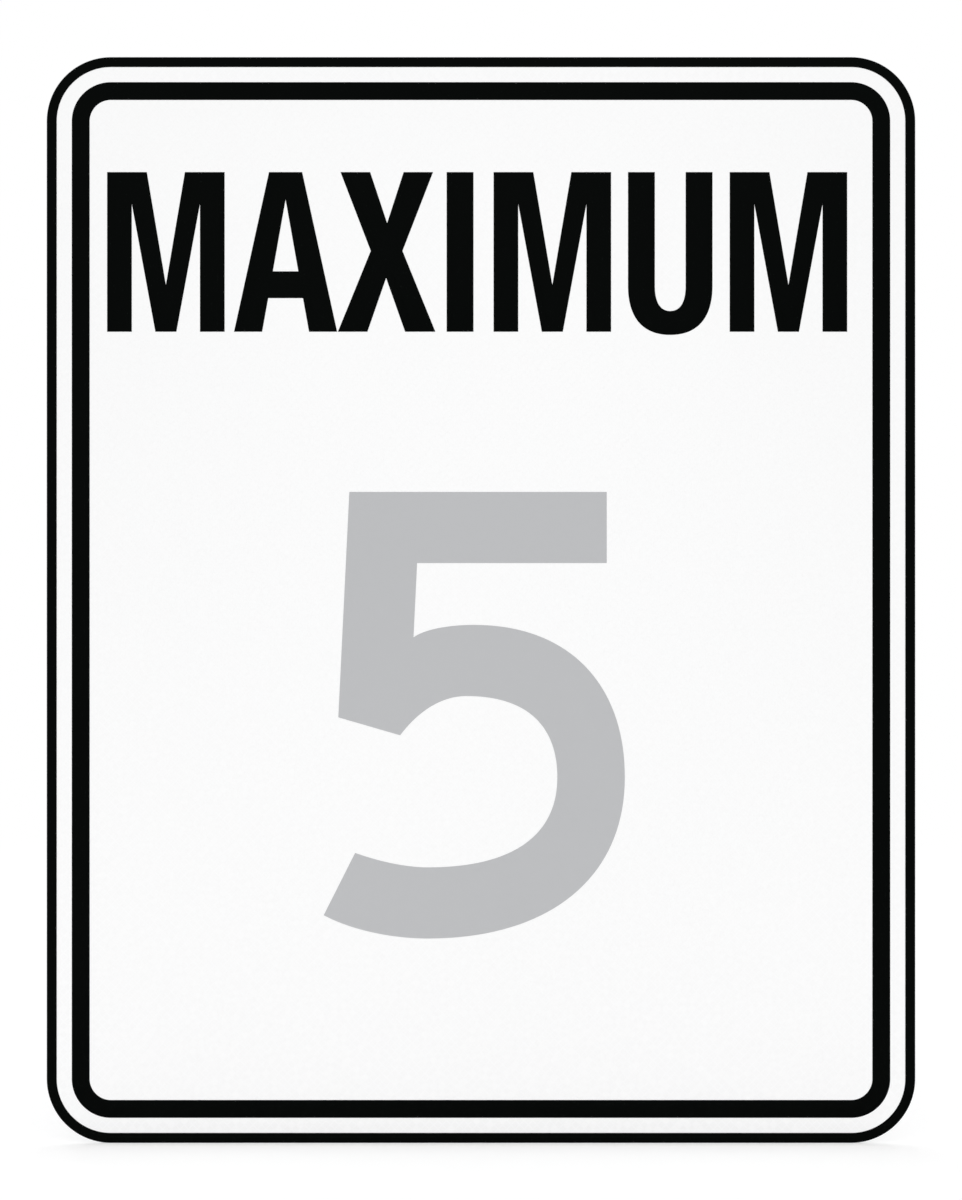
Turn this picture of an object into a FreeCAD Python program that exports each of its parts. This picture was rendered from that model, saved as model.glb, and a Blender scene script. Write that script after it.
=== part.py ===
# Speed limit sign: a flat upright panel that is fixed by its back.
#
# The panel is an aluminium blank with rounded corners and deburred rims. White reflective
# sheeting covers its front, and two black overlay films lie on the sheeting: a thin line round
# the very edge and a broader border inside it, with a white gap between them. All outlines are
# rounded rectangles on one centre, and their corner arcs are concentric. The limit itself is a
# digit cut from grey film: a bar, a leaning stem and a round bowl with an open tail.
#
# Frame: the origin is the centre of the back face. +X is the reader's right, +Z is up, and the
# front looks along -Y. Every layer is stacked from the back face towards -Y. Millimetres.
import FreeCAD, Part
import os
from math import radians, tan
import Sketcher

# Driving dimensions, in millimetres.
SIZES = {
    "panel_width": 600.0,
    "panel_height": 750.0,
    "corner_radius": 44.5,
    "sheet_thickness": 2.06,
    "edge_round": 0.3,
    "sheeting_thickness": 0.3,
    "overlay_thickness": 0.1,
    "edge_line_width": 6.8,
    "line_gap": 10.4,
    "border_width": 12.3,
    # The digit: how its film lies on the panel, and the whole of its outline.
    "digit_left_of_centre": 108.6,
    "digit_foot_below_centre": 233.7,
    "digit_width": 207.9,
    "digit_height": 308.3,
    # Its strokes: those that run level, the leaning stem, and the bowl's upright side.
    "digit_level_stroke": 49.1,
    "digit_stem_stroke": 49.2,
    "digit_upright_stroke": 46.6,
    # Its bar: how far each end lies inside the outline, and the open height below it.
    "digit_bar_start": 17.7,
    "digit_bar_end": 12.5,
    "digit_bar_clearance": 42.7,
    # Its stem: the lean, where the bowl springs from it, and its slanting foot.
    "digit_stem_lean_degrees": 2.8,
    "digit_shoulder_drop": 8.6,
    "digit_stem_foot_drop": 63.8,
    "digit_stem_foot_slant": 12.4,
    "digit_throat_step": 6.5,
    # Its bowl and tail: the lowest point, and the slanting cut that ends the tail.
    "digit_lowest_from_left": 72.0,
    "digit_tail_rise": 16.1,
    "digit_tail_slant": 21.7,
    "digit_tail_lift": 10.0,
}

# The digit's letterform, apart from its sizes. The bowl's crown is over the middle of the digit,
# and the crown of its inner edge a little to the left of that. The bowl is widest a little above
# the middle of its own height, and its inner edge is the fuller one. Angles are to the level.
CROWN_SHARE = 0.5
INNER_CROWN_SHARE = 0.474
WIDEST_SHARE = 0.514
OUTSIDE_FULLNESS = 0.62
INSIDE_FULLNESS = 0.65
SHOULDER_DEGREES = 36
THROAT_DEGREES = 53
TAIL_OUTSIDE_DEGREES = -28
TAIL_INSIDE_DEGREES = -19.5

# How far each outline lies inside the blank's own outline, as the sizes that add up to it.
BLANK_OUTLINE = ()
SHEETING_OUTLINE = ("edge_round",)
EDGE_LINE_INSIDE = SHEETING_OUTLINE + ("edge_line_width",)
BORDER_OUTSIDE = EDGE_LINE_INSIDE + ("line_gap",)
BORDER_INSIDE = BORDER_OUTSIDE + ("border_width",)

# How far in front of the back face each layer starts, in the same way.
BACK_FACE = ()
BLANK_FRONT = ("sheet_thickness",)
SHEETING_FRONT = BLANK_FRONT + ("sheeting_thickness",)


def write_sizes(doc):
    """Puts each driving dimension in a cell of its own, under its name."""
    sheet = doc.addObject("Spreadsheet::Sheet", "Sizes")
    for row, (name, value) in enumerate(SIZES.items(), start=1):
        sheet.set(f"A{row}", name)
        sheet.set(f"B{row}", str(value))
        sheet.setAlias(f"B{row}", name)
    doc.recompute()


def expression(names):
    """The sum of some sizes, as an expression on their cells."""
    return " + ".join(f"Sizes.{name}" for name in names) or "0"


def value(names):
    """The same sum as a number, from which the sketch solver starts."""
    return sum(SIZES[name] for name in names)


def draw_outline(sketch, tag, inset):
    """Draws a rounded rectangle, centred on the origin and bound to the sizes."""
    right = SIZES["panel_width"] / 2 - value(inset)
    top = SIZES["panel_height"] / 2 - value(inset)
    radius = SIZES["corner_radius"] - value(inset)
    across = right - radius
    up = top - radius

    def line(x0, y0, x1, y1):
        start = FreeCAD.Vector(x0, y0, 0)
        end = FreeCAD.Vector(x1, y1, 0)
        return sketch.addGeometry(Part.LineSegment(start, end), False)

    def corner(x, y, start_degrees):
        circle = Part.Circle(FreeCAD.Vector(x, y, 0), FreeCAD.Vector(0, 0, 1), radius)
        arc = Part.ArcOfCircle(circle, radians(start_degrees), radians(start_degrees + 90))
        return sketch.addGeometry(arc, False)

    bottom_side = line(-across, -top, across, -top)
    bottom_right = corner(across, -up, 270)
    right_side = line(right, -up, right, up)
    top_right = corner(across, up, 0)
    top_side = line(across, top, -across, top)
    top_left = corner(-across, up, 90)
    left_side = line(-right, up, -right, -up)
    bottom_left = corner(-across, -up, 180)

    # Point numbers of a sketch element: 1 is its start, 2 its end and 3 its centre.
    loop = [bottom_side, bottom_right, right_side, top_right]
    loop += [top_side, top_left, left_side, bottom_left]
    for this, following in zip(loop, loop[1:] + loop[:1]):
        sketch.addConstraint(Sketcher.Constraint("Tangent", this, 2, following, 1))
    for side in (bottom_side, top_side):
        sketch.addConstraint(Sketcher.Constraint("Horizontal", side))
    for side in (left_side, right_side):
        sketch.addConstraint(Sketcher.Constraint("Vertical", side))
    for arc in (bottom_right, top_left, bottom_left):
        sketch.addConstraint(Sketcher.Constraint("Equal", top_right, arc))
    sketch.addConstraint(Sketcher.Constraint("Symmetric", bottom_left, 3, top_right, 3, -1, 1))

    driven = {
        "width": (
            Sketcher.Constraint("DistanceX", left_side, 1, right_side, 1, 2 * right),
            f"Sizes.panel_width - 2 * ({expression(inset)})",
        ),
        "height": (
            Sketcher.Constraint("DistanceY", bottom_side, 1, top_side, 1, 2 * top),
            f"Sizes.panel_height - 2 * ({expression(inset)})",
        ),
        "radius": (
            Sketcher.Constraint("Radius", top_right, radius),
            f"Sizes.corner_radius - ({expression(inset)})",
        ),
    }
    for size, (constraint, bound_to) in driven.items():
        index = sketch.addConstraint(constraint)
        sketch.renameConstraint(index, f"{tag}_{size}")
        sketch.setExpression(f"Constraints.{tag}_{size}", bound_to)


def add_layer(doc, label, starts_at, thickness, outside, inside=None):
    """A flat layer of one thickness: a plate, or a ring where it has an inner outline."""
    body = doc.addObject("PartDesign::Body", label)
    upright = [f for f in body.Origin.OriginFeatures if f.Role == "XZ_Plane"]
    sketch = body.newObject("Sketcher::SketchObject", f"{label}_outline")
    sketch.AttachmentSupport = (upright[0], [""])
    sketch.MapMode = "FlatFace"
    sketch.setExpression("AttachmentOffset.Base.z", expression(starts_at))
    draw_outline(sketch, "outside", outside)
    if inside is not None:
        draw_outline(sketch, "inside", inside)
    pad = body.newObject("PartDesign::Pad", f"{label}_layer")
    pad.Profile = sketch
    pad.setExpression("Length", f"Sizes.{thickness}")
    doc.recompute()
    return body


def reach(start, degrees, level):
    """The point at which a line from start, at an angle to the level, comes to a height."""
    return start[0] + (level - start[1]) / tan(radians(degrees)), level


class Outline:
    """A closed outline on the face, drawn from point to point. A point is (across, up)."""

    def __init__(self, start):
        self.start = start
        self.end = start
        self.edges = []

    def line(self, *points):
        """Straight runs through the points."""
        for point in points:
            ends = [FreeCAD.Vector(x, 0, z) for x, z in (self.end, point)]
            self.edges.append(Part.LineSegment(*ends).toShape())
            self.end = point

    def curve(self, corner, end, fullness):
        """A round stretch that leaves towards the corner and comes in to end from it."""
        handles = [
            tuple(a + (c - a) * fullness for a, c in zip(point, corner))
            for point in (self.end, end)
        ]
        bezier = Part.BezierCurve()
        bezier.setPoles([
            FreeCAD.Vector(x, 0, z) for x, z in (self.end, *handles, end)
        ])
        self.edges.append(bezier.toShape())
        self.end = end

    def film(self, thickness):
        """The closed outline as a film that rises from the XZ plane towards -Y."""
        self.line(self.start)
        return Part.Face(Part.Wire(self.edges)).extrude(FreeCAD.Vector(0, -thickness, 0))


def digit_outline(size):
    """The digit's outline. Its left side is at 0 across, and its lowest point at 0 up."""
    right = size("digit_width")
    top = size("digit_height")
    level = size("digit_level_stroke")
    stem = size("digit_stem_stroke")
    lean = tan(radians(size("digit_stem_lean_degrees")))

    bar_left = size("digit_bar_start")
    bar_right = right - size("digit_bar_end")
    bar_under = top - level
    crown = bar_under - size("digit_bar_clearance")
    inner_crown = crown - level
    inner_right = right - size("digit_upright_stroke")
    crown_at = right * CROWN_SHARE
    inner_crown_at = right * INNER_CROWN_SHARE
    widest_at = crown * WIDEST_SHARE
    lowest_at = size("digit_lowest_from_left")

    shoulder_up = crown - size("digit_shoulder_drop")
    shoulder = (bar_left + stem - (top - shoulder_up) * lean, shoulder_up)
    foot_up = crown - size("digit_stem_foot_drop")
    foot = (bar_left - (top - foot_up) * lean, foot_up)
    throat = (
        foot[0] + stem - size("digit_throat_step"),
        foot_up - size("digit_stem_foot_slant"),
    )
    tail_outside = (0, size("digit_tail_rise"))
    tail_inside = (size("digit_tail_slant"), level + size("digit_tail_lift"))

    outline = Outline((bar_left, top))
    outline.line(foot, throat)

    def inner(corner, end):
        outline.curve(corner, end, INSIDE_FULLNESS)

    inner(reach(throat, THROAT_DEGREES, inner_crown), (inner_crown_at, inner_crown))
    inner((inner_right, inner_crown), (inner_right, widest_at))
    inner((inner_right, level), (lowest_at, level))
    inner(reach(tail_inside, TAIL_INSIDE_DEGREES, level), tail_inside)
    outline.line(tail_outside)

    def outer(corner, end):
        outline.curve(corner, end, OUTSIDE_FULLNESS)

    outer(reach(tail_outside, TAIL_OUTSIDE_DEGREES, 0), (lowest_at, 0))
    outer((right, 0), (right, widest_at))
    outer((right, crown), (crown_at, crown))
    outer(reach(shoulder, SHOULDER_DEGREES, crown), shoulder)
    outline.line((bar_left + stem - level * lean, bar_under))
    outline.line((bar_right, bar_under), (bar_right, top))
    return outline


def add_digit(doc):
    """The digit of the limit, cut from film and laid on the sheeting."""
    size = doc.getObject("Sizes").get
    film = doc.addObject("Part::Feature", "digit_film")
    film.Shape = digit_outline(size).film(size("overlay_thickness"))
    in_front = sum(size(name) for name in SHEETING_FRONT)
    at = (-size("digit_left_of_centre"), -in_front, -size("digit_foot_below_centre"))
    film.Placement = FreeCAD.Placement(FreeCAD.Vector(*at), FreeCAD.Rotation())
    doc.recompute()
    return film


def round_rims(doc, body):
    """Deburrs the blank: rounds the rim of its front face and the rim of its back face."""
    layer = body.Tip
    faces = [
        f"Face{number}"
        for number, face in enumerate(layer.Shape.Faces, start=1)
        if abs(face.normalAt(0, 0).y) > 0.99
    ]
    fillet = body.newObject("PartDesign::Fillet", "deburred_rims")
    fillet.Base = (layer, faces)
    fillet.setExpression("Radius", "Sizes.edge_round")
    doc.recompute()


def check(doc, bodies):
    """Stops the build if any feature failed or any piece isn't one sound solid."""
    for item in doc.Objects:
        if "Invalid" in item.State or "Error" in item.State:
            raise RuntimeError(f"{item.Label} failed: {item.State}")
    for body in bodies:
        shape = body.Shape
        if shape.isNull() or not shape.isValid() or len(shape.Solids) != 1:
            raise RuntimeError(f"{body.Label} isn't one sound solid")
        box = shape.optimalBoundingBox()
        print(f"{body.Label}: {box.XLength:.2f} x {box.YLength:.2f} x {box.ZLength:.2f} mm,"
              f" {shape.Volume:.1f} mm3")


def main():
    doc = FreeCAD.newDocument("SpeedLimitSign")
    write_sizes(doc)
    blank = add_layer(doc, "aluminium_blank", BACK_FACE, "sheet_thickness", BLANK_OUTLINE)
    round_rims(doc, blank)
    bodies = [
        blank,
        add_layer(
            doc, "reflective_sheeting", BLANK_FRONT, "sheeting_thickness", SHEETING_OUTLINE
        ),
        add_layer(
            doc, "edge_line_film", SHEETING_FRONT, "overlay_thickness",
            SHEETING_OUTLINE, EDGE_LINE_INSIDE,
        ),
        add_layer(
            doc, "border_film", SHEETING_FRONT, "overlay_thickness",
            BORDER_OUTSIDE, BORDER_INSIDE,
        ),
        add_digit(doc),
    ]
    check(doc, bodies)
    os.makedirs("parts", exist_ok=True)
    for body in bodies:
        body.Shape.exportStep(os.path.join("parts", f"{body.Label}.step"))


main()
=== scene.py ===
from collections import namedtuple
from math import cos, pi, radians, sin, tan

import bmesh
import bpy
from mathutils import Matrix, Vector

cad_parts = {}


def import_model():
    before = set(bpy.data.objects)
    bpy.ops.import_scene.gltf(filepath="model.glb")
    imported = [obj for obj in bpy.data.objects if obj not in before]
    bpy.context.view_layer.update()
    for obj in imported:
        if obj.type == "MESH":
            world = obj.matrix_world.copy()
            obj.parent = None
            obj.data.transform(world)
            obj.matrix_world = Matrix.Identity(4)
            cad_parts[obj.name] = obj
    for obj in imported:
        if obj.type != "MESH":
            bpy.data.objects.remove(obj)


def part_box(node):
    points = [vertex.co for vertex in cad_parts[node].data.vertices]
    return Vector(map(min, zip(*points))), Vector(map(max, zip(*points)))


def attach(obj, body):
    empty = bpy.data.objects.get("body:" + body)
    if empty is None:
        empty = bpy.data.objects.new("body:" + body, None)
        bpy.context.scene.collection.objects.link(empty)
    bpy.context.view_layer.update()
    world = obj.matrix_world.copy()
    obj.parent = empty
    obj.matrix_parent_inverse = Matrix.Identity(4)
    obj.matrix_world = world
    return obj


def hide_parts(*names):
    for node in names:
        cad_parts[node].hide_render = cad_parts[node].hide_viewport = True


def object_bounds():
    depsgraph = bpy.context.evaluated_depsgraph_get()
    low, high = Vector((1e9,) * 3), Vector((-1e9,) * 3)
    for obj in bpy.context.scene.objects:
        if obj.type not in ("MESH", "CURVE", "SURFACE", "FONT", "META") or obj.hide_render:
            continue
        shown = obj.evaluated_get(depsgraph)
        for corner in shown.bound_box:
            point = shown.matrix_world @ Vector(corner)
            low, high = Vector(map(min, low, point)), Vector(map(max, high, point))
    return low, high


MM = 0.001

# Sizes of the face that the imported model's boxes don't give, in millimetres.
CORNER_RADIUS = 44.5
EDGE_LINE_WIDTH = 6.8
BORDER_WIDTH = 12.3

# How far the edges are rounded, in millimetres.
BLANK_EDGE_ROUND = 0.3
SHEETING_EDGE_ROUND = 0.06
FILM_EDGE_ROUND = 0.03

# The steps that round stretches are drawn in, and the turn from which an edge stays sharp.
EDGE_STEPS = 4
CORNER_STEPS = 28
CURVE_STEPS = 36
SHARP_DEGREES = 35

# The word, as cut letters of one height on one line, in millimetres. Each pair is a letter and
# the gap before it.
WORD = (("m", 0.0), ("a", 6.5), ("x", 0.5), ("i", 7.8), ("m", 13.9), ("u", 11.7), ("m", 11.9))
WORD_LEFT = -258.1
WORD_BASELINE = 185.2
CAP_HEIGHT = 110.2
LETTER_STEM = 18.5

# The digit's sizes, in millimetres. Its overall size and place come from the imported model.
LEVEL_STROKE = 49.1
STEM_STROKE = 49.2
UPRIGHT_STROKE = 46.6
BAR_START = 17.7
BAR_END = 12.5
BAR_CLEARANCE = 42.7
STEM_LEAN_DEGREES = 2.8
SHOULDER_DROP = 8.6
STEM_FOOT_DROP = 63.8
STEM_FOOT_SLANT = 12.4
THROAT_STEP = 6.5
LOWEST_FROM_LEFT = 72.0
TAIL_RISE = 16.1
TAIL_SLANT = 21.7
TAIL_LIFT = 10.0
CROWN_SHARE = 0.5
INNER_CROWN_SHARE = 0.474
WIDEST_SHARE = 0.514
SHOULDER_DEGREES = 36
THROAT_DEGREES = 53
TAIL_OUTSIDE_DEGREES = -28
TAIL_INSIDE_DEGREES = -19.5

# How full a round stretch is: the digit's outer edge, and its inner edge and the letter U.
OUTSIDE_FULLNESS = 0.62
INSIDE_FULLNESS = 0.65

# The photograph's frame: how high its picture is at the face of the sign, in metres. The
# camera's sensor lies along that height, which is the picture's longer side.
PICTURE_HEIGHT = 0.8284
LENS_MM = 85
SENSOR_MM = 36

# Colours, as light reflected, and how much each film's face mirrors.
SHEETING_WHITE = (0.955, 0.956, 0.957)
SHEETING_SEAL = (0.935, 0.937, 0.940)
BLACK = (0.0010, 0.0015, 0.0013)
BLACK_LIGHTER = (0.0014, 0.0020, 0.0017)
BLACK_SPECULAR = 0.02
GREY = (0.489, 0.495, 0.507)
GREY_LIGHTER = (0.496, 0.502, 0.514)
GREY_SPECULAR = 0.25
ALUMINIUM_DARK = (0.53, 0.54, 0.56)
ALUMINIUM_LIGHT = (0.74, 0.75, 0.765)
ALUMINIUM_SCRATCHED = (0.87, 0.875, 0.885)

# The grain of the finishes, in millimetres: how far apart its marks lie, the same each way, or
# across the sign, through it and up it.
SHEETING_CELL = 4.2
SHEETING_PEEL = 3
SHEETING_CLOUD = 250
FILM_GRAIN = 1.1
FILM_PEEL = 6
FILM_CLOUD = 140
FINE_LINES = (0.8, 1000, 120)
ROLLING_LINES = (2.6, 1000, 500)
BROAD_LINES = (30, 1000, 1600)
ALUMINIUM_CLOUD = 160
CUTTER_MARKS = (0.7, 30, 0.7)

# The hairlines of new mill sheet, one to a cell, with sizes in millimetres and each within an
# angle of the upright. How far they stray and where they fade out are shares of the cell.
UPRIGHT_HAIRLINES = {"cell": 45, "width": 0.25, "degrees": 14}
SLANTED_HAIRLINES = {"cell": 110, "width": 0.35, "degrees": 50}
HAIRLINE_STRAY = 0.8
HAIRLINE_FADE = (0.05, 0.42)

# Ranges of the values that patterns give: where most of a noise lies, a share, and the step
# from a sealed line to the inside of its cell.
NOISE_RANGE = (0.3, 0.7)
SHARE_RANGE = (0, 1)
SEAL_RANGE = (0.02, 0.10)

# How a flat pattern is turned to lie on the face: straight, and on its corner.
FACE_TURN = (pi / 2, 0, 0)
DIAMOND_TURN = (pi / 2, pi / 4, 0)

# The studio: the lights, and how the floor runs out into the background, in metres and watts.
WHITE_LIGHT = (1, 1, 1, 1)
WORLD_LIGHT = 0.93
KEY_LIGHT = {"place": (0, -4.5, 0.95), "size": 2.4, "power": 11}
REAR_LIGHT = {"place": (-1.5, 3.2, 1.2), "size": 2.2, "power": 7}
FLOOR_PALE = (0.90, 0.90, 0.90, 1)
FLOOR_LIFT = 0.20
FLOOR_FADE = (1.0, 2.6)
FLOOR_RADII = (0.5, 1.5, 4, 12, 40)
FLOOR_SIDES = 64


# Outlines

def reach(start, degrees, level):
    """The point at which a line from start, at an angle to the level, comes to a height."""
    return start[0] + (level - start[1]) / tan(radians(degrees)), level


def cubic(ends, handles, share):
    """A point of a cubic curve."""
    rest = 1 - share
    weights = (rest ** 3, 3 * rest ** 2 * share, 3 * rest * share ** 2, share ** 3)
    points = (ends[0], handles[0], handles[1], ends[1])
    return tuple(sum(w * p[axis] for w, p in zip(weights, points)) for axis in (0, 1))


class Outline:
    """A closed outline on the face, drawn from point to point."""

    def __init__(self, start):
        self.points = [start]

    def line(self, *points):
        """Straight runs through the points."""
        self.points.extend(points)

    def curve(self, corner, end, fullness):
        """A round stretch that leaves towards the corner and comes in to end from it."""
        ends = (self.points[-1], end)
        handles = [tuple(a + (c - a) * fullness for a, c in zip(point, corner)) for point in ends]
        for step in range(1, CURVE_STEPS + 1):
            self.points.append(cubic(ends, handles, step / CURVE_STEPS))


def rounded_rectangle(half_width, half_height, radius):
    """The points of a rounded rectangle round the origin."""
    points = []
    for right, top, start in ((1, -1, 270), (1, 1, 0), (-1, 1, 90), (-1, -1, 180)):
        for step in range(CORNER_STEPS + 1):
            angle = radians(start + 90 * step / CORNER_STEPS)
            across = right * (half_width - radius) + radius * cos(angle)
            up = top * (half_height - radius) + radius * sin(angle)
            points.append((across, up))
    return points


def digit_outline(width, height):
    """The digit, from the top of its stem and against the clock.

    Its left side is at 0 across, and its lowest point at 0 up.
    """
    lean = tan(radians(STEM_LEAN_DEGREES))
    bar_right = width - BAR_END
    bar_under = height - LEVEL_STROKE
    crown = bar_under - BAR_CLEARANCE
    inner_crown = crown - LEVEL_STROKE
    inner_right = width - UPRIGHT_STROKE
    crown_at = width * CROWN_SHARE
    inner_crown_at = width * INNER_CROWN_SHARE
    widest_at = crown * WIDEST_SHARE

    shoulder_up = crown - SHOULDER_DROP
    shoulder = (BAR_START + STEM_STROKE - (height - shoulder_up) * lean, shoulder_up)
    foot_up = crown - STEM_FOOT_DROP
    foot = (BAR_START - (height - foot_up) * lean, foot_up)
    throat = (foot[0] + STEM_STROKE - THROAT_STEP, foot_up - STEM_FOOT_SLANT)
    tail_outside = (0, TAIL_RISE)
    tail_inside = (TAIL_SLANT, LEVEL_STROKE + TAIL_LIFT)

    outline = Outline((BAR_START, height))
    outline.line(foot, throat)

    def inner(corner, end):
        outline.curve(corner, end, INSIDE_FULLNESS)

    inner(reach(throat, THROAT_DEGREES, inner_crown), (inner_crown_at, inner_crown))
    inner((inner_right, inner_crown), (inner_right, widest_at))
    inner((inner_right, LEVEL_STROKE), (LOWEST_FROM_LEFT, LEVEL_STROKE))
    inner(reach(tail_inside, TAIL_INSIDE_DEGREES, LEVEL_STROKE), tail_inside)
    outline.line(tail_outside)

    def outer(corner, end):
        outline.curve(corner, end, OUTSIDE_FULLNESS)

    outer(reach(tail_outside, TAIL_OUTSIDE_DEGREES, 0), (LOWEST_FROM_LEFT, 0))
    outer((width, 0), (width, widest_at))
    outer((width, crown), (crown_at, crown))
    outer(reach(shoulder, SHOULDER_DEGREES, crown), shoulder)
    outline.line((BAR_START + STEM_STROKE - LEVEL_STROKE * lean, bar_under))
    outline.line((bar_right, bar_under), (bar_right, height))
    return outline.points


def mirrored(half, middle, between=()):
    """A closed outline: its left half, any points between the halves, and its right half."""
    right = [(2 * middle - across, up) for across, up in reversed(half)]
    return [*half, *between, *right]


def letter_m():
    """M: two stems and a deep V. Its width comes first, then its outlines."""
    width = 81.1
    stem = 17.0
    shoulder = 27.4
    notch_drop = 21.9
    v_depth = 77.9
    v_foot = 14.5
    middle = width / 2
    half = [
        (middle - v_foot / 2, 0),
        (stem, CAP_HEIGHT - notch_drop),
        (stem, 0),
        (0, 0),
        (0, CAP_HEIGHT),
        (shoulder, CAP_HEIGHT),
    ]
    return width, [mirrored(half, middle, between=[(middle, CAP_HEIGHT - v_depth)])]


def letter_a():
    """A: two legs, a crossbar and the open triangle above it."""
    width = 71.2
    top = 22.9
    leg_foot = 19.4
    bar_low = 23.2
    bar_high = 41.7
    leg_at_bar = 23.6
    counter_base = 17.6
    counter_top = 91.3
    middle = width / 2
    half = [
        (leg_at_bar, bar_low),
        (leg_foot, 0),
        (0, 0),
        (middle - top / 2, CAP_HEIGHT),
    ]
    counter = [
        (middle - counter_base / 2, bar_high),
        (middle, counter_top),
        (middle + counter_base / 2, bar_high),
    ]
    return width, [mirrored(half, middle), counter]


def letter_x():
    """X: two crossed arms, wider at the foot than at the top."""
    width = 67.3
    left_top = (1.8, 22.3)
    right_top = (45.4, 65.7)
    left_foot_end = 20.4
    right_foot_start = 46.4
    waist = (22.7, 44.6)
    waist_up = 55.8
    upper_notch = (34.0, 75.0)
    lower_notch = (33.3, 37.1)
    outline = [
        (0, 0),
        (waist[0], waist_up),
        (left_top[0], CAP_HEIGHT),
        (left_top[1], CAP_HEIGHT),
        upper_notch,
        (right_top[0], CAP_HEIGHT),
        (right_top[1], CAP_HEIGHT),
        (waist[1], waist_up),
        (width, 0),
        (right_foot_start, 0),
        lower_notch,
        (left_foot_end, 0),
    ]
    return width, [outline]


def letter_i():
    """I: one stem."""
    return LETTER_STEM, [[(0, 0), (LETTER_STEM, 0), (LETTER_STEM, CAP_HEIGHT), (0, CAP_HEIGHT)]]


def letter_u():
    """U: two stems on a round bowl that dips a little below the line."""
    width = 58.3
    dip = 2.2
    bowl_up = 31.7
    inner_low = 14.3
    middle = width / 2
    inner_left = LETTER_STEM
    inner_right = width - LETTER_STEM
    outline = Outline((0, CAP_HEIGHT))
    outline.line((0, bowl_up))
    outline.curve((0, -dip), (middle, -dip), INSIDE_FULLNESS)
    outline.curve((width, -dip), (width, bowl_up), INSIDE_FULLNESS)
    outline.line((width, CAP_HEIGHT), (inner_right, CAP_HEIGHT), (inner_right, bowl_up))
    outline.curve((inner_right, inner_low), (middle, inner_low), INSIDE_FULLNESS)
    outline.curve((inner_left, inner_low), (inner_left, bowl_up), INSIDE_FULLNESS)
    outline.line((inner_left, CAP_HEIGHT))
    return width, [outline.points]


# Meshes

def placed(loop, left, foot):
    """An outline in millimetres, moved to its place on the face, in metres."""
    return [((across + left) * MM, (up + foot) * MM) for across, up in loop]


def area(loop):
    """The area inside a loop, positive where it runs against the clock."""
    following = loop[1:] + loop[:1]
    return sum(a[0] * b[1] - b[0] * a[1] for a, b in zip(loop, following)) / 2


def drawn_in(loop, inset):
    """The loop with each side moved to its left by the inset."""
    corners = [Vector(point) for point in loop]
    moved = []
    for before, here, after in zip(corners[-1:] + corners[:-1], corners, corners[1:] + corners[:1]):
        arriving = (here - before).normalized()
        leaving = (after - here).normalized()
        sides = [Vector((-way.y, way.x)) for way in (arriving, leaving)]
        moved.append(here + (sides[0] + sides[1]) * inset / (1 + sides[0].dot(sides[1])))
    return moved


def rounded_edge(face, inwards, radius):
    """The section of an edge round as pairs (inset, y), from its face to its side.

    The way from the face into the sheet is 1 on the front and -1 on the back.
    """
    return [
        (radius * (1 - sin(turn)), face + inwards * radius * (1 - cos(turn)))
        for turn in (pi / 2 * step / EDGE_STEPS for step in range(EDGE_STEPS + 1))
    ]


def add_ring(mesh, loop, y):
    """Adds the points of a loop at one y."""
    return [mesh.verts.new((across, y, up)) for across, up in loop]


def bridge(mesh, ring, following, slot=0):
    """Joins two rings of as many points with faces, smooth where they turn an edge."""
    turns = abs(ring[0].co.y - following[0].co.y) > 0
    for index in range(len(ring)):
        after = (index + 1) % len(ring)
        face = mesh.faces.new((ring[index], ring[after], following[after], following[index]))
        face.smooth = turns
        face.material_index = slot


def cap(mesh, rings):
    """Closes one side of a flat piece. Any ring after the first is a hole."""
    edges = []
    for ring in rings:
        for one, other in zip(ring, ring[1:] + ring[:1]):
            edges.append(mesh.edges.get((one, other)))
    bmesh.ops.triangle_fill(mesh, edges=edges, use_beauty=True)


def add_object(name, data):
    """Adds an object to the scene."""
    made = bpy.data.objects.new(name, data)
    bpy.context.scene.collection.objects.link(made)
    return made


def add_mesh(name, mesh, materials):
    """Adds a finished mesh to the scene."""
    data = bpy.data.meshes.new(name)
    mesh.to_mesh(data)
    mesh.free()
    for material in materials:
        data.materials.append(material)
    return add_object(name, data)


def add_piece(name, mesh, materials):
    """Adds a piece of the sign, which rides on its one body."""
    bmesh.ops.recalc_face_normals(mesh, faces=mesh.faces)
    piece = add_mesh(name, mesh, materials)
    piece.data.set_sharp_from_angle(angle=radians(SHARP_DEGREES))
    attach(piece, "root")
    return piece


def flat_piece(name, materials, loops, section):
    """A flat closed piece: a section (inset, y) taken round each loop, and two flat sides.

    Any loop after the first is a hole. The faces that the section makes take the last material.
    """
    mesh = bmesh.new()
    turned = [
        loop if (area(loop) > 0) == (index == 0) else loop[::-1]
        for index, loop in enumerate(loops)
    ]
    sides = []
    for loop in turned:
        rings = [add_ring(mesh, drawn_in(loop, inset), y) for inset, y in section]
        for ring, following in zip(rings, rings[1:]):
            bridge(mesh, ring, following, len(materials) - 1)
        sides.append(rings)
    cap(mesh, [rings[0] for rings in sides])
    cap(mesh, [rings[-1] for rings in sides])
    return add_piece(name, mesh, materials)


# Materials

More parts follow.
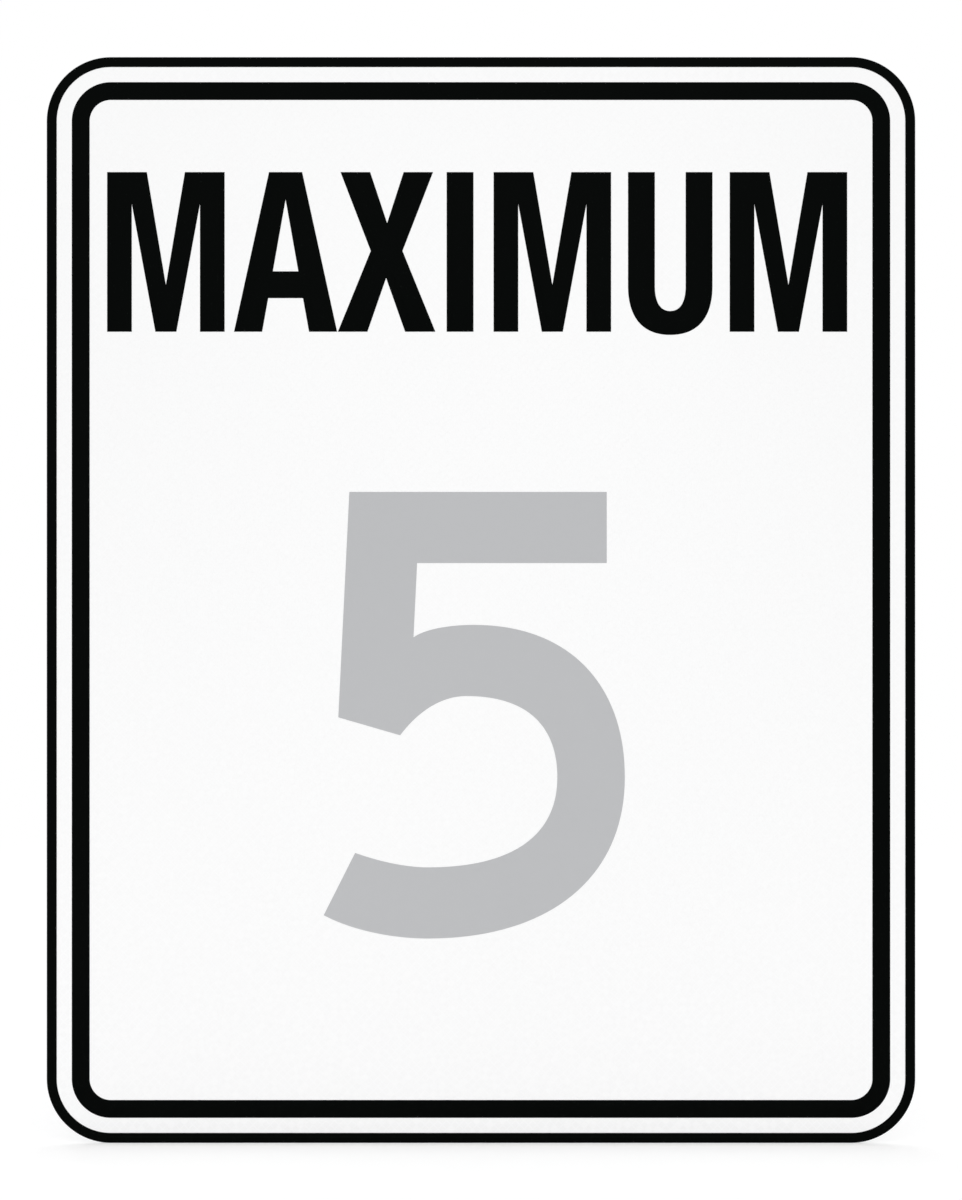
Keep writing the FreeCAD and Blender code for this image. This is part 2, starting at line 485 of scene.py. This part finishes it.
class Nodes:
    """A tree of shader nodes under construction."""

    def __init__(self, tree):
        self.tree = tree

    def put(self, value, socket):
        """Gives an input a plain value, or links another node's output to it."""
        if isinstance(value, bpy.types.NodeSocket):
            self.tree.links.new(value, socket)
        else:
            socket.default_value = value

    def node(self, kind, settings=None, **inputs):
        """Adds a node, with its settings and its inputs by name."""
        made = self.tree.nodes.new(kind)
        for name, value in (settings or {}).items():
            setattr(made, name, value)
        for name, value in inputs.items():
            self.put(value, made.inputs[name.replace("_", " ")])
        return made

    def result(self, kind, *values, **settings):
        """The first output of a new node, whose inputs are given in their order."""
        made = self.node(kind, settings)
        for value, socket in zip(values, made.inputs):
            self.put(value, socket)
        return made.outputs[0]

    def math(self, operation, *values):
        """The result of one operation on numbers."""
        return self.result("ShaderNodeMath", *values, operation=operation)

    def spread(self, value, low, high, taken=NOISE_RANGE, **settings):
        """The value, taken from a range, spread from low to high."""
        made = self.node(
            "ShaderNodeMapRange", settings, Value=value,
            From_Min=taken[0], From_Max=taken[1], To_Min=low, To_Max=high,
        )
        return made.outputs["Result"]

    def background_rays(self):
        """1 for a ray that comes from the camera or out of gloss or glass, and 0 for the others."""
        path = self.node("ShaderNodeLightPath").outputs
        seen = self.math("MAXIMUM", path["Is Camera Ray"], path["Is Glossy Ray"])
        return self.math("MAXIMUM", seen, path["Is Transmission Ray"])


class Finish(Nodes):
    """A material under construction: a principled shader, and the nodes that feed it."""

    def __init__(self, name, **inputs):
        self.material = bpy.data.materials.new(name)
        self.material.use_nodes = True
        super().__init__(self.material.node_tree)
        self.feed(**inputs)

    def feed(self, **inputs):
        """Gives the shader's inputs plain values or other nodes' outputs. Returns the material."""
        shader = self.tree.nodes["Principled BSDF"]
        for name, value in inputs.items():
            self.put(value, shader.inputs[name.replace("_", " ")])
        return self.material

    def place(self, cell, turn=(0, 0, 0)):
        """The place on the sign, turned, and counted in cells of a size in millimetres."""
        where = self.node("ShaderNodeTexCoord").outputs["Object"]
        sides = cell if isinstance(cell, tuple) else (cell, cell, cell)
        size = [side * MM for side in sides]
        settings = {"vector_type": "TEXTURE"}
        return self.node("ShaderNodeMapping", settings, Vector=where, Scale=size, Rotation=turn).outputs[0]

    def noise(self, cell, detail=2, roughness=0.5):
        """Soft random values, near 0.5 on the whole, that change from cell to cell."""
        where = self.place(cell)
        made = self.node("ShaderNodeTexNoise", Vector=where, Scale=1, Detail=detail, Roughness=roughness)
        return made.outputs["Fac"]

    def cells(self, where, stray=0, **settings):
        """The outputs of a flat pattern of cells, whose middles stray by a share of the cell."""
        settings["voronoi_dimensions"] = "2D"
        made = self.node("ShaderNodeTexVoronoi", settings, Vector=where, Scale=1, Randomness=stray)
        return made.outputs

    def hairlines(self, cell, width, degrees):
        """Scratches on the face, one to a cell, each within an angle of the upright.

        A scratch is an even line that fades out towards its ends: up to 1 on it, and 0 beside it.
        """
        where = self.place(cell, FACE_TURN)
        cells = self.cells(where, HAIRLINE_STRAY)
        chance = self.node("ShaderNodeSeparateXYZ", Vector=cells["Color"]).outputs
        from_middle = self.result("ShaderNodeVectorMath", where, cells["Position"], operation="SUBTRACT")
        angle = self.spread(chance["X"], -radians(degrees), radians(degrees), SHARE_RANGE)
        settings = {"rotation_type": "Z_AXIS"}
        turned = self.node("ShaderNodeVectorRotate", settings, Vector=from_middle, Angle=angle).outputs[0]
        local = self.node("ShaderNodeSeparateXYZ", Vector=turned).outputs
        line = self.math("COMPARE", local["X"], 0, width / cell / 2)
        fade = self.spread(self.math("ABSOLUTE", local["Y"]), 1, 0, HAIRLINE_FADE)
        return self.math("MULTIPLY", self.math("MULTIPLY", line, fade), chance["Y"])

    def between(self, share, one, other):
        """A colour between two others, of which each is plain or another node's output."""
        made = self.node("ShaderNodeMix", {"data_type": "RGBA"}, Factor=share)
        colours = [socket for socket in made.inputs if socket.type == "RGBA"]
        for colour, socket in zip((one, other), colours):
            self.put((*colour, 1) if isinstance(colour, tuple) else colour, socket)
        return next(socket for socket in made.outputs if socket.type == "RGBA")

    def bump(self, height, depth, strength, under=None):
        """Relief of a depth in millimetres, over any relief that lies under it."""
        made = self.node("ShaderNodeBump", Height=height, Distance=depth * MM, Strength=strength)
        if under is not None:
            self.put(under, made.inputs["Normal"])
        return made.outputs["Normal"]


def sheeting_finish():
    """White prismatic sheeting: clear gloss over a faint lattice of sealed cells."""
    finish = Finish("white_sheeting", IOR=1.5, Specular_IOR_Level=0.4)
    diamonds = finish.place(SHEETING_CELL, DIAMOND_TURN)
    inside = finish.cells(diamonds, feature="DISTANCE_TO_EDGE")["Distance"]
    inside = finish.spread(inside, 0, 1, SEAL_RANGE)
    tilt = finish.cells(diamonds)["Color"]
    cloud = finish.noise(SHEETING_CLOUD, detail=3)
    tone = finish.math("MULTIPLY", inside, finish.spread(cloud, 0.75, 1))
    rough = finish.spread(inside, 0.34, 0.24, SHARE_RANGE)
    seals = finish.bump(inside, depth=0.04, strength=0.35)
    peel = finish.noise(SHEETING_PEEL)
    return finish.feed(
        Base_Color=finish.between(tone, SHEETING_SEAL, SHEETING_WHITE),
        Roughness=finish.math("ADD", rough, finish.spread(tilt, 0, 0.05, SHARE_RANGE)),
        Normal=finish.bump(peel, depth=0.03, strength=0.25, under=seals),
    )


def film_finish(name, colour, lighter, specular):
    """Cast film: an even colour, a satin face with a fine grain, and soft changes of gloss."""
    finish = Finish(name, IOR=1.46, Specular_IOR_Level=specular)
    grain = finish.noise(FILM_GRAIN, detail=3, roughness=0.6)
    cloud = finish.noise(FILM_CLOUD, detail=3)
    peel = finish.bump(finish.noise(FILM_PEEL), depth=0.04, strength=0.25)
    rough = finish.spread(cloud, 0.36, 0.44)
    return finish.feed(
        Base_Color=finish.between(finish.spread(cloud, 0, 1), colour, lighter),
        Roughness=finish.math("ADD", rough, finish.spread(grain, -0.03, 0.03)),
        Normal=finish.bump(grain, depth=0.01, strength=0.3, under=peel),
    )


def aluminium_finish():
    """Mill finish: rolled upright, with fine and broad rolling lines, clouds and hairlines."""
    finish = Finish("aluminium_mill", Metallic=1.0, Anisotropic=0.4)
    fine = finish.noise(FINE_LINES, detail=3, roughness=0.75)
    rolled = finish.noise(ROLLING_LINES, detail=3, roughness=0.65)
    broad = finish.noise(BROAD_LINES)
    cloud = finish.noise(ALUMINIUM_CLOUD, detail=4, roughness=0.62)
    upright = finish.hairlines(**UPRIGHT_HAIRLINES)
    slanted = finish.hairlines(**SLANTED_HAIRLINES)
    hairlines = finish.math("MAXIMUM", upright, slanted)
    streaks = finish.math("ADD", finish.spread(rolled, 0, 0.32), finish.spread(fine, 0, 0.2))
    streaks = finish.math("ADD", streaks, finish.spread(broad, 0, 0.28))
    tone = finish.math("ADD", streaks, finish.spread(cloud, -0.1, 0.2))
    rough = finish.spread(streaks, 0.28, 0.40, SHARE_RANGE)
    rough = finish.math("ADD", rough, finish.spread(cloud, -0.04, 0.06))
    rolled_colour = finish.between(tone, ALUMINIUM_DARK, ALUMINIUM_LIGHT)
    return finish.feed(
        Base_Color=finish.between(hairlines, rolled_colour, ALUMINIUM_SCRATCHED),
        Roughness=finish.math("MULTIPLY_ADD", hairlines, 0.08, rough),
        Normal=finish.bump(rolled, depth=0.02, strength=0.35),
    )


def cut_edge_finish():
    """The blank's milled edge: brighter, with cutter marks across the sheet."""
    finish = Finish("aluminium_cut_edge", Metallic=1.0)
    marks = finish.noise(CUTTER_MARKS)
    return finish.feed(
        Base_Color=finish.between(finish.spread(marks, 0, 1), ALUMINIUM_DARK, ALUMINIUM_LIGHT),
        Roughness=finish.spread(marks, 0.22, 0.34),
        Normal=finish.bump(marks, depth=0.02, strength=0.4),
    )


# The sign

Layer = namedtuple("Layer", "half_width half_height radius back front")


def layer(node):
    """A packed layer of the sign, whose corners share their centres with the blank's.

    Its back and its front are given by their places along Y.
    """
    low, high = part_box(node)
    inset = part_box("aluminium_blank")[1].x - high.x
    return Layer(high.x, high.z, CORNER_RADIUS * MM - inset, high.y, low.y)


def film_section(film):
    """The section of a film's cut edge, from its face to its back."""
    return rounded_edge(film.front, 1, FILM_EDGE_ROUND * MM) + [(0, film.back)]


def plate(name, node, materials, edge_round, back_edge_round):
    """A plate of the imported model, with its rims rounded finely, in millimetres."""
    sheet = layer(node)
    section = rounded_edge(sheet.front, 1, edge_round * MM)
    if back_edge_round:
        section += rounded_edge(sheet.back, -1, back_edge_round * MM)[::-1]
    else:
        section += [(0, sheet.back)]
    loop = rounded_rectangle(sheet.half_width, sheet.half_height, sheet.radius)
    piece = flat_piece(name, materials, [loop], section)
    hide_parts(node)


def band(name, node, materials, width):
    """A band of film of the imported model: a closed section taken round its corners and sides."""
    film = layer(node)
    outer_edge = film_section(film)
    inner_edge = [(width * MM - inset, y) for inset, y in reversed(outer_edge)]
    mesh = bmesh.new()
    rings = []
    for inset, y in outer_edge + inner_edge:
        loop = rounded_rectangle(film.half_width - inset, film.half_height - inset, film.radius - inset)
        rings.append(add_ring(mesh, loop, y))
    for ring, following in zip(rings, rings[1:] + rings[:1]):
        bridge(mesh, ring, following)
    piece = add_piece(name, mesh, materials)
    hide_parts(node)


def cut_film(name, materials, loops, left, foot):
    """A shape cut from film, from outlines in millimetres, laid on the sheeting."""
    section = film_section(layer("border_film"))
    on_face = [placed(loop, left, foot) for loop in loops]
    return flat_piece(name, materials, on_face, section)


def build_panel(black):
    """The blank, its sheeting and the two black bands."""
    aluminium = [aluminium_finish(), cut_edge_finish()]
    white = [sheeting_finish()]
    plate("blank", "aluminium_blank", aluminium, BLANK_EDGE_ROUND, BLANK_EDGE_ROUND)
    plate("sheeting", "reflective_sheeting", white, SHEETING_EDGE_ROUND, 0)
    band("edge_line", "edge_line_film", black, EDGE_LINE_WIDTH)
    band("border", "border_film", black, BORDER_WIDTH)


def build_word(black):
    """The cut letters of the word, from left to right."""
    letters = {"m": letter_m, "a": letter_a, "x": letter_x, "i": letter_i, "u": letter_u}
    left = WORD_LEFT
    for index, (letter, gap) in enumerate(WORD, start=1):
        left += gap
        width, loops = letters[letter]()
        cut_film(f"letter_{index}_{letter}", black, loops, left, WORD_BASELINE)
        left += width


def build_digit(grey):
    """The digit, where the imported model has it."""
    low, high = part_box("digit_film")
    width, height = ((high - low) / MM).xz
    loops = [digit_outline(width, height)]
    piece = cut_film("digit", grey, loops, low.x / MM, low.z / MM)
    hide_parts("digit_film")


# The studio

def build_world():
    """White behind the sign, and an even light of its own level on it."""
    world = bpy.data.worlds.new("studio")
    world.use_nodes = True
    bpy.context.scene.world = world
    nodes = Nodes(world.node_tree)
    background = world.node_tree.nodes["Background"]
    nodes.put(WHITE_LIGHT, background.inputs["Color"])
    level = nodes.spread(nodes.background_rays(), WORLD_LIGHT, 1, SHARE_RANGE)
    nodes.put(level, background.inputs["Strength"])


def floor_finish():
    """Pale ground near the sign, which keeps its shadow and fades into the white background.

    It is lifted a little near the sign, and lights the sign's foot as much as the world its top.
    """
    material = bpy.data.materials.new("floor")
    material.use_nodes = True
    tree = material.node_tree
    tree.nodes.remove(tree.nodes["Principled BSDF"])
    nodes = Nodes(tree)
    where = nodes.node("ShaderNodeTexCoord").outputs["Object"]
    far = nodes.node("ShaderNodeVectorMath", {"operation": "LENGTH"}, Vector=where).outputs["Value"]
    fade = nodes.spread(far, 0, 1, FLOOR_FADE, interpolation_type="SMOOTHSTEP")
    pale = nodes.result("ShaderNodeBsdfDiffuse", FLOOR_PALE)
    lift = nodes.result("ShaderNodeEmission", WHITE_LIGHT, FLOOR_LIFT)
    lifted = nodes.result("ShaderNodeAddShader", pale, lift)
    white = nodes.result("ShaderNodeEmission", WHITE_LIGHT, 1)
    seen = nodes.result("ShaderNodeMixShader", fade, lifted, white)
    lighting = nodes.result("ShaderNodeMixShader", fade, lifted, pale)
    surface = nodes.result("ShaderNodeMixShader", nodes.background_rays(), lighting, seen)
    nodes.put(surface, tree.nodes["Material Output"].inputs["Surface"])
    return material


def build_floor(level):
    """A floor under the sign that reaches far past the camera's view."""
    mesh = bmesh.new()
    turns = [2 * pi * step / FLOOR_SIDES for step in range(FLOOR_SIDES)]
    rings = [
        [mesh.verts.new((radius * cos(turn), radius * sin(turn), 0)) for turn in turns]
        for radius in FLOOR_RADII
    ]
    mesh.faces.new(rings[0])
    for ring, following in zip(rings, rings[1:]):
        bridge(mesh, ring, following)
    floor = add_mesh("floor", mesh, [floor_finish()])
    floor.location.z = level


def add_softbox(name, place, size, power):
    """A square soft light that faces the sign's centre."""
    light = bpy.data.lights.new(name, "AREA")
    light.shape = "SQUARE"
    light.size = size
    light.energy = power
    lamp = add_object(name, light)
    lamp.location = place
    lamp.rotation_euler = (-Vector(place)).to_track_quat("-Z", "Y").to_euler()


def build_camera(face):
    """Straight in front of the sign, as far as the photograph's frame needs."""
    camera = add_object("camera", bpy.data.cameras.new("camera"))
    camera.data.lens = LENS_MM
    camera.data.sensor_width = SENSOR_MM
    camera.location = (0, face - PICTURE_HEIGHT * LENS_MM / SENSOR_MM, 0)
    camera.rotation_euler = (pi / 2, 0, 0)
    bpy.context.scene.camera = camera


def main():
    """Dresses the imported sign, then lights and frames it."""
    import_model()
    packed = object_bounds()

    black = [film_finish("black_film", BLACK, BLACK_LIGHTER, BLACK_SPECULAR)]
    grey = [film_finish("grey_film", GREY, GREY_LIGHTER, GREY_SPECULAR)]
    build_panel(black)
    build_word(black)
    build_digit(grey)

    build_world()
    build_floor(packed[0].z)
    add_softbox("key", **KEY_LIGHT)
    add_softbox("rear", **REAR_LIGHT)
    build_camera(packed[0].y)

    bpy.context.scene.view_settings.view_transform = "Standard"


main()
